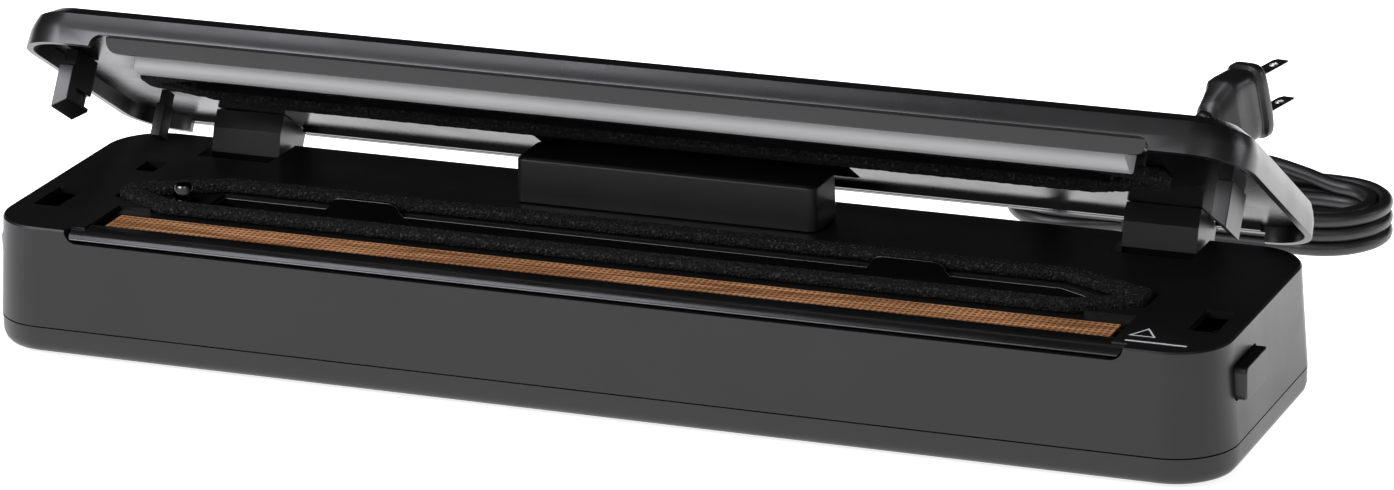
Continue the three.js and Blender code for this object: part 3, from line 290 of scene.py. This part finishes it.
MATERIALS = {
    "housing": moulded("housing", grey(0.0040), grey(0.0062), (0.30, 0.40), MOULD_GRAIN, 0.000020),
    "lid": moulded("lid", grey(0.0040), grey(0.0060), (0.25, 0.35), MOULD_GRAIN, 0.000012, 0.55),
    "pod": moulded("pod", grey(0.0090), grey(0.0120), (0.34, 0.44), MOULD_GRAIN, 0.000020),
    "gloss": polished("gloss", grey(0.0025), grey(0.0040), (0.10, 0.18)),
    "inner": polished("inner", grey(0.0030), grey(0.0045), (0.18, 0.28), 0.6),
    "roll": polished("roll", grey(0.0040), grey(0.0060), (0.18, 0.26)),
    "dark": moulded("dark", grey(0.0050), grey(0.0075), (0.28, 0.38), MOULD_GRAIN, 0.00005),
    "silicone": moulded("silicone", grey(0.36), grey(0.42), (0.30, 0.40), 3000.0, 0.00003),
    "rubber": moulded("rubber", grey(0.0070), grey(0.0110), (0.55, 0.75), RUBBER_GRAIN, 0.00010,
                      0.35),
    "cord": moulded("cord", grey(0.0080), grey(0.0110), (0.34, 0.46), RUBBER_GRAIN, 0.00004),
    "plug": moulded("plug", grey(0.0070), grey(0.0100), (0.30, 0.42), RUBBER_GRAIN, 0.00004),
    "core": moulded("core", rgb(0.10, 0.05, 0.025), rgb(0.16, 0.08, 0.04), (0.35, 0.55),
                    900.0, 0.0002),
    "lens": polished("lens", rgb(0.45, 0.55, 0.62), rgb(0.55, 0.64, 0.70), (0.05, 0.12)),
    "print": moulded("print", grey(0.60), grey(0.68), (0.5, 0.6), RUBBER_GRAIN, 0.00002),
    "foam": foam_material(),
    "tape": cloth_tape_material(),
    "steel": metal("steel", grey(0.42), grey(0.60), (0.18, 0.34), (0.1, 1.0, 1.0)),
    # Steel given a much darker tone than the other steel parts, for the small vacuum nozzle.
    "dark_toned_steel": metal("dark_toned_steel", grey(0.06), grey(0.11), (0.10, 0.20), (1.0, 0.2, 0.2)),
    "nickel": metal("nickel", grey(0.50), grey(0.68), (0.10, 0.22), (1.0, 0.2, 0.2)),
    "band": metal("band", rgb(0.30, 0.27, 0.24), rgb(0.44, 0.41, 0.38), (0.3, 0.45),
                  (0.05, 1.0, 1.0)),
    "circuit": circuit_material(),
    "hose": hose_material(),
}

# ------------------------------------------------------------------ CAD nodes


def both(*names):
    """The left and the right node of each name."""
    return [f"{name}_{side}" for name in names for side in ("left", "right")]


def numbered(name, count):
    """Nodes that share a name and are counted from 1."""
    return [f"{name}_{number}" for number in range(1, count + 1)]


KEYS = ["seal_button", "vacuum_seal_button", "stop_button"]
PLUG_BLADES = ["plug_blade_upper", "plug_blade_lower"]

NODE_LOOKS = {
    "housing": ["upper_housing", "bottom_cover", *both("release_button")],
    "gloss": ["drip_tray", *KEYS],
    "pod": ["pod_cover"],
    "roll": ["seal_bar_base"],
    "inner": ["lid_inner_plate"],
    "lid": ["lid_shell"],
    "dark": [*both("latch_slider", "latch_hook", "hinge_arm"), "switch_peg", "micro_switch",
             "pump_head"],
    "silicone": ["press_bar", "switch_plunger"],
    "rubber": [*numbered("foot", 4), "cord_gland", "cord_tie"],
    "core": ["transformer"],
    "lens": ["status_light"],
    "tape": ["heat_strip_cover"],
    "dark_toned_steel": ["vacuum_nozzle"],
    "steel": ["pump_motor", *both("hinge_pin", "lid_spring", "slider_spring"),
              *numbered("cover_screw", 4)],
    "nickel": PLUG_BLADES,
    "band": ["heating_element"],
    "circuit": ["power_board", "control_board"],
    "hose": ["air_hose"],
}

# Nodes by the width of the small round on their edges, in mm.
EDGE_ROUNDS = {
    0.15: PLUG_BLADES,
    0.20: ["cord_tie", "power_board", "control_board", "status_light"],
    0.25: ["seal_bar_base", "drip_tray", *both("release_button", "latch_slider")],
    0.30: ["bottom_cover", "lid_shell", "lid_inner_plate", "switch_peg", "micro_switch", *KEYS],
    0.35: ["upper_housing", *both("latch_hook")],
    0.40: ["press_bar", *numbered("foot", 4)],
    0.50: ["pod_cover", "pump_motor", *both("hinge_arm")],
    0.60: ["transformer", "pump_head"],
}
ROUND_WIDTHS = {name: width for width, names in EDGE_ROUNDS.items() for name in names}

SMOOTH_ANGLE = math.radians(32.0)      # edges sharper than this stay edges
CREASE_ANGLE = math.radians(14.0)      # the same on nodes whose gentle creases show
CREASED = both("hinge_arm", "latch_hook")
WELD_REACH = 0.004                     # corners closer than this are one corner, in mm
FLAT_ANGLE = math.radians(0.6)         # triangles closer to level than this are one face


def join_triangles(piece):
    """Joins the loose triangles into one skin with modifiers. The mesh keeps its own faces."""
    if "custom_normal" in piece.data.attributes:
        piece.data.attributes.remove(piece.data.attributes["custom_normal"])
    piece.data.shade_smooth()
    weld = piece.modifiers.new("join_triangles", "WELD")
    weld.merge_threshold = WELD_REACH * MM
    flat = piece.modifiers.new("merge_flat", "DECIMATE")
    flat.decimate_type = "DISSOLVE"
    flat.angle_limit = FLAT_ANGLE


def shade_smooth(piece):
    """Curved faces shade as one surface, flat faces stay flat, and the edges of the nodes in
    EDGE_ROUNDS are slightly round."""
    join_triangles(piece)
    if piece.name in ROUND_WIDTHS:
        bevel = piece.modifiers.new("edge_round", "BEVEL")
        bevel.width = ROUND_WIDTHS[piece.name] * MM
        bevel.segments = 2
        bevel.limit_method = "ANGLE"
        bevel.angle_limit = CREASE_ANGLE if piece.name in CREASED else SMOOTH_ANGLE
        bevel.use_clamp_overlap = True
        piece.modifiers.new("even_shading", "WEIGHTED_NORMAL")
    else:
        split = piece.modifiers.new("sharp_edges", "EDGE_SPLIT")
        split.split_angle = SMOOTH_ANGLE


def finish_cad_nodes():
    """Gives each CAD node that stays in view its look and its smooth shading."""
    for look, names in NODE_LOOKS.items():
        for name in names:
            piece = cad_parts[name]
            for slot in piece.material_slots:
                slot.material = MATERIALS[look]
            shade_smooth(piece)


# ------------------------------------------------------------------ new pieces


def new_piece(name, mesh, look, body):
    """A piece of one look that moves with its body."""
    piece = bpy.data.objects.new(name, mesh)
    bpy.context.collection.objects.link(piece)
    mesh.materials.clear()
    mesh.materials.append(MATERIALS[look])
    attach(piece, body)
    return piece


def mesh_from(name, points, faces, smooth=True):
    mesh = bpy.data.meshes.new(name)
    mesh.from_pydata([tuple(p) for p in points], [], faces)
    if smooth:
        mesh.polygons.foreach_set("use_smooth", [True] * len(mesh.polygons))
    mesh.update()
    return mesh


def skin(rings):
    """Faces between rings of equal length, with a cap on each end."""
    count = len(rings[0])
    points = [p for ring in rings for p in ring]
    faces = []
    for row in range(len(rings) - 1):
        for i in range(count):
            a = row * count + i
            b = row * count + (i + 1) % count
            faces.append((a, b, b + count, a + count))
    faces.append(tuple(reversed(range(count))))
    faces.append(tuple(range((len(rings) - 1) * count, len(rings) * count)))
    return points, faces


# ------------------------------------------------------------------ cord

# The lead leaves the gland, runs six turns round the hank and ends as the tail in the plug.
# Lengths are in mm from the middle of the base on the table.

CORD_DIAMETER = 4.6
HANK_LEFT, HANK_RIGHT = 76.0, 156.8    # centres of the hank's two round ends
HANK_Y = 177.8
OUTER, INNER = 19.8, 15.0              # radius of the outer and inner strand at the round ends
LAYERS = (2.5, 7.1, 11.7)              # heights of the strands' centres
TAIL_RADIUS, TAIL_Z = 18.7, 16.6       # where the last turn runs into the tail

# Radius and layer of each turn. The way round a turn is 0 to 1 along the near run, 1 to 2 round
# the right end, 2 to 3 along the far run and 3 to 4 round the left end.
TURNS = [(OUTER, 0), (INNER, 0), (INNER, 1), (OUTER, 1), (OUTER, 2), (INNER, 2)]
HANK_START, HANK_END = 0.64, 2.36      # way on the first turn and way on the last one

TIE_REACH = (3.0, 16.0)                # how far from the tie its squeeze starts to fade and ends
TIE_SQUEEZE = (0.34, 0.22)             # part of the way to the bundle's middle, across and up

LEAD = [
    (100, 79.3, 16), (100, 87, 15.6), (100, 97, 12.9), (100, 107, 8.2), (100, 117, 4.1),
    (100, 127, 2.7), (100, 137, 2.5), (101.4, 144.6, 2.5), (104.8, 150.4, 2.5),
    (110.2, 155.1, 2.5), (116, 157.4, 2.5),
]
TAIL = [
    (122, 196.5, TAIL_Z), (108, 196.5, TAIL_Z), (92, 196.5, TAIL_Z), (76, 196.5, TAIL_Z),
    (66.6, 194, TAIL_Z), (59.8, 187.2, TAIL_Z), (57.3, 177.8, TAIL_Z), (59.8, 168.4, TAIL_Z),
    (66.6, 161.6, TAIL_Z), (76, 159.1, TAIL_Z + 0.2), (86, 159.8, TAIL_Z + 1.6),
    (95, 162.6, TAIL_Z + 4.6), (102.6, 166.6, TAIL_Z + 7.8), (108.2, 171.6, TAIL_Z + 10.5),
    (111.6, 177, TAIL_Z + 12.1), (113.45, 181.3, TAIL_Z + 12.65),
]


def ease(value, start, end):
    """0 before start, 1 after end, and smooth between them."""
    t = min(max((value - start) / (end - start), 0.0), 1.0)
    return t * t * (3 - 2 * t)


def hank_place(turn, way):
    """Radius and height of the strand on a turn, with its steps to the next strand's place."""
    radius, layer = TURNS[turn]
    height = LAYERS[layer]
    step = OUTER - INNER
    rise = LAYERS[1] - LAYERS[0]
    if turn == 1:                       # steps in beside the first turn, then climbs
        radius += step * (1 - ease(way, 0.02, 0.42))
        height += rise * ease(way, 3.5, 4.0)
    elif turn == 2:
        radius += step * ease(way, 3.0, 3.5)
    elif turn == 3:
        height += rise * ease(way, 2.6, 3.0)
    elif turn == 4:
        radius -= step * ease(way, 2.25, 2.6)
    elif turn == 5:
        climb = ease(way, 1.95, 2.3)
        height += (TAIL_Z - LAYERS[2]) * climb
        radius += (TAIL_RADIUS - INNER) * climb
    return radius, height


def hank_point(turn, way):
    """Place of the strand's centre on a turn."""
    radius, height = hank_place(turn, way)
    run = HANK_RIGHT - HANK_LEFT
    part, along = int(way), way - int(way)
    if part == 0:
        x, y = HANK_LEFT + run * along, HANK_Y - radius
    elif part == 2:
        x, y = HANK_RIGHT - run * along, HANK_Y + radius
    else:
        centre, quarter = (HANK_RIGHT, -0.5) if part == 1 else (HANK_LEFT, 0.5)
        turned = math.pi * (along + quarter)
        x = centre + radius * math.cos(turned)
        y = HANK_Y + radius * math.sin(turned)
    return squeezed_by_tie(x, y, height)


def squeezed_by_tie(x, y, z):
    """The tie pulls the near run's strands together."""
    tie_low, tie_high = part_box("cord_tie")
    tie_x = (tie_low[0] + tie_high[0]) / 2 / MM
    bundle_y = (tie_low[1] + tie_high[1]) / 2 / MM - BASE_Y / MM
    if y > HANK_Y or z > LAYERS[2] + 1:
        return x, y, z
    pull = 1 - ease(abs(x - tie_x), *TIE_REACH)
    across, up = TIE_SQUEEZE
    return x, y + (bundle_y - y) * across * pull, z + (LAYERS[1] - z) * up * pull


def cord_route():
    """The cord's centre line, with seven points to each round end and six to each run."""
    points = list(LEAD)
    last = len(TURNS) - 1
    for turn in range(last + 1):
        way = HANK_START if turn == 0 else 0.0
        end = HANK_END if turn == last else 4.0
        while way < end - 0.02:
            points.append(hank_point(turn, way))
            bend = int(way) in (1, 3)
            way += 1 / 7 if bend else 1 / 6
            if not bend and int(way + 0.01) in (1, 3):
                way = round(way)        # a round end starts with a point of its own
    return [at(*p) for p in points + TAIL]


def make_cord():
    """One round cord in place of the CAD part's three lengths."""
    data = bpy.data.curves.new("power_cord", "CURVE")
    data.dimensions = "3D"
    data.bevel_depth = CORD_DIAMETER / 2 * MM
    data.bevel_resolution = 5
    data.resolution_u = 5
    data.use_fill_caps = True
    route = cord_route()
    spline = data.splines.new("BEZIER")
    spline.bezier_points.add(len(route) - 1)
    for point, place in zip(spline.bezier_points, route):
        point.co = place
        point.handle_left_type = point.handle_right_type = "AUTO"
    cord = bpy.data.objects.new("power_cord", data)
    bpy.context.collection.objects.link(cord)
    data.materials.append(MATERIALS["cord"])
    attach(cord, "base")
    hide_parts("cord_lead", "cord_hank", "cord_tail")
    return cord


PLUG_END = at(113.6, 181.6, 29.3)
PLUG_AXIS = Vector((0.374, 0.918, 0.128)).normalized()
PLUG_SIDE = PLUG_AXIS.cross(Vector((-0.141, -0.08, 0.987))).normalized()
PLUG_UP = PLUG_SIDE.cross(PLUG_AXIS)
PLUG_AROUND = 48             # points round each section
HOLLOW_PLACE = 20.0          # middle of the thumb hollow along the plug
HOLLOW_LENGTH = 4.4          # half of its length
HOLLOW_WIDTH = 0.72          # half of its width, as a part of the plug's half width
HOLLOW_DEPTH = 0.9

# Distance along the plug, half width, half thickness and squareness of each section.
PLUG_SECTIONS = [
    (0.0, 2.6, 2.6, 2.0), (0.5, 3.3, 3.3, 2.0), (2.4, 3.6, 3.5, 2.0), (2.7, 3.1, 3.1, 2.0),
    (3.5, 3.1, 3.1, 2.0), (3.8, 4.1, 3.7, 2.0), (5.6, 4.9, 4.0, 2.1), (5.9, 4.3, 3.6, 2.1),
    (6.7, 4.4, 3.7, 2.1), (7.0, 6.2, 4.6, 2.3), (10.0, 8.1, 5.2, 2.6), (13.2, 10.1, 5.9, 3.0),
    (14.6, 11.2, 6.4, 3.6), (15.4, 11.6, 6.6, 4.0), (18.0, 11.7, 6.7, 4.2),
    (22.0, 11.7, 6.7, 4.2), (24.6, 11.7, 6.7, 4.2), (25.2, 11.3, 6.3, 4.2),
    (26.2, 11.3, 6.3, 4.2), (26.6, 12.3, 7.3, 4.2), (27.2, 12.5, 7.5, 4.2),
    (29.2, 12.5, 7.5, 4.2), (29.8, 12.2, 7.2, 4.2), (30.0, 11.4, 6.5, 4.2),
]


def thumb_hollow(along, up, half_up):
    """How far the plug's flat side is pressed in at a point, in mm."""
    reach = ((along - HOLLOW_PLACE) / HOLLOW_LENGTH) ** 2 + (up / (half_up * HOLLOW_WIDTH)) ** 2
    return HOLLOW_DEPTH * math.exp(-reach ** 2)


def make_plug():
    """Moulded plug with a ribbed sleeve, thumb hollows and a rim at its face."""
    rings = []
    for along, half_up, half_side, square in PLUG_SECTIONS:
        ring = []
        for i in range(PLUG_AROUND):
            angle = 2 * math.pi * i / PLUG_AROUND
            cosine, sine = math.cos(angle), math.sin(angle)
            up = half_up * math.copysign(abs(cosine) ** (2 / square), cosine)
            side = half_side * math.copysign(abs(sine) ** (2 / square), sine)
            side -= math.copysign(thumb_hollow(along, up, half_up), sine) * abs(sine)
            ring.append(PLUG_END + (PLUG_AXIS * along + PLUG_UP * up + PLUG_SIDE * side) * MM)
        rings.append(ring)
    plug = new_piece("plug_shell", mesh_from("plug_shell", *skin(rings)), "plug", "base")
    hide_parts("plug_body")
    return plug


cord = make_cord()
plug = make_plug()

# ------------------------------------------------------------------ foam gaskets

FOAM_CELL = 0.75             # grid of the remeshed foam, in mm
PORE_SPACING = 1.6
PORE_DEPTH = 0.35


def foam_piece(node, name, body):
    """Foam with rolled edges and an uneven, porous skin, made from a copy of the CAD solid."""
    piece = new_piece(name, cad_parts[node].data.copy(), "foam", body)
    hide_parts(node)
    remesh = piece.modifiers.new("cells", "REMESH")
    remesh.mode = "VOXEL"
    remesh.voxel_size = FOAM_CELL * MM
    remesh.use_smooth_shade = True
    relax = piece.modifiers.new("rolled_edges", "SMOOTH")
    relax.factor = 0.5
    relax.iterations = 4
    pores = bpy.data.textures.new(name + "_pores", "CLOUDS")
    pores.noise_scale = PORE_SPACING * MM
    pores.noise_depth = 2
    rough = piece.modifiers.new("pores", "DISPLACE")
    rough.texture = pores
    rough.texture_coords = "LOCAL"
    rough.strength = PORE_DEPTH * MM
    rough.mid_level = 0.55


foam_piece("lower_gasket", "lower_foam_gasket", "base")
foam_piece("upper_gasket", "upper_foam_gasket", "lid")

# ------------------------------------------------------------------ printed mark

MARK_CENTRE = (167.6, -35.6)
MARK_SIZE = 4.6              # from the triangle's centre to its corners
MARK_LINE = 0.5              # width of its sides
MARK_BAR = ((164.0, 182.0), (-42.6, -41.7))
MARK_HEIGHT = 0.05           # top of the print above the deck, and the print's thickness
MARK_THICKNESS = 0.04


def make_heat_mark():
    """A plain triangle outline with a bar beneath it, printed on the deck."""
    cx, cy = MARK_CENTRE
    top = DECK_Z / MM + MARK_HEIGHT
    low = top - MARK_THICKNESS
    corners = [(cx + MARK_SIZE * math.cos(a), cy + MARK_SIZE * math.sin(a))
               for a in (math.radians(90 + 120 * i) for i in range(3))]
    inner = [(cx + (x - cx) * (1 - 2 * MARK_LINE / MARK_SIZE),
              cy + (y - cy) * (1 - 2 * MARK_LINE / MARK_SIZE)) for x, y in corners]
    points = [at(x, y, z) for z in (low, top) for x, y in corners + inner]
    faces = []
    for i in range(3):
        j = (i + 1) % 3
        faces += [(6 + i, 6 + j, 9 + j, 9 + i), (i, 3 + i, 3 + j, j),
                  (i, j, 6 + j, 6 + i), (3 + j, 3 + i, 9 + i, 9 + j)]
    (x0, x1), (y0, y1) = MARK_BAR
    first = len(points)
    ends = [(x0, y0), (x1, y0), (x1, y1), (x0, y1)]
    points += [at(x, y, z) for z in (low, top) for x, y in ends]
    box_faces = [(3, 2, 1, 0), (4, 5, 6, 7), (0, 1, 5, 4), (1, 2, 6, 5), (2, 3, 7, 6), (3, 0, 4, 7)]
    faces += [tuple(first + i for i in face) for face in box_faces]
    new_piece("heat_mark", mesh_from("heat_mark", points, faces, False), "print", "base")


make_heat_mark()
finish_cad_nodes()

# ------------------------------------------------------------------ floor and light

FLOOR_REACH = 6.0            # in metres, as all lengths in this section
LIGHT_COLOUR = (0.98, 0.97, 1.04)

# Name, place, aim, width and height, and radiance of each area light.
LIGHTS = [
    ("key", (-1.0, -1.1, 1.15), (-0.15, 0, 0.05), (1.1, 0.8), 9.0),
    ("front_fill", (1.1, -1.5, 1.6), (0.1, 0, 0), (1.0, 0.6), 1.5),
    ("overhead", (-0.60, -0.02, 1.25), (0, -0.04, 0.04), (0.42, 0.34), 5.5),
    ("right_low", (1.7, 0.7, 0.6), (0.15, 0, 0.03), (0.7, 0.5), 3.2),
]

# The sky's tone by the way a ray points along Y, from front to back.
SKY = {"From Min": -0.75, "From Max": 0.05, "To Min": 0.55, "To Max": 0.012}


def make_floor():
    corners = [(x * FLOOR_REACH, y * FLOOR_REACH, 0)
               for x, y in ((-1, -1), (1, -1), (1, 1), (-1, 1))]
    mesh = mesh_from("floor", corners, [(0, 1, 2, 3)], False)
    floor = bpy.data.objects.new("floor", mesh)
    bpy.context.collection.objects.link(floor)
    mesh.materials.append(floor_material())


def area_light(name, place, aim, size, radiance):
    """A rectangle of even radiance that faces its aim."""
    data = bpy.data.lights.new(name, "AREA")
    data.shape = "RECTANGLE"
    data.size, data.size_y = size
    data.energy = math.pi * size[0] * size[1] * radiance
    data.color = LIGHT_COLOUR
    light = bpy.data.objects.new(name, data)
    light.location = place
    toward = Vector(aim) - Vector(place)
    light.rotation_euler = toward.to_track_quat("-Z", "Y").to_euler()
    bpy.context.collection.objects.link(light)


def make_sky():
    """Pale in front of the sealer and dark above and behind it."""
    world = bpy.data.worlds.new("studio")
    world.use_nodes = True
    tree = world.node_tree
    place = tree.nodes.new("ShaderNodeTexCoord")
    split = tree.nodes.new("ShaderNodeSeparateXYZ")
    depth = tree.nodes.new("ShaderNodeMapRange")
    for name, value in SKY.items():
        depth.inputs[name].default_value = value
    tree.links.new(place.outputs["Generated"], split.inputs[0])
    tree.links.new(split.outputs["Y"], depth.inputs["Value"])
    tree.links.new(depth.outputs["Result"], tree.nodes["Background"].inputs["Color"])
    bpy.context.scene.world = world


def make_lights():
    for light in LIGHTS:
        area_light(*light)
    make_sky()
    bpy.context.scene.view_settings.view_transform = "Standard"


make_floor()
make_lights()
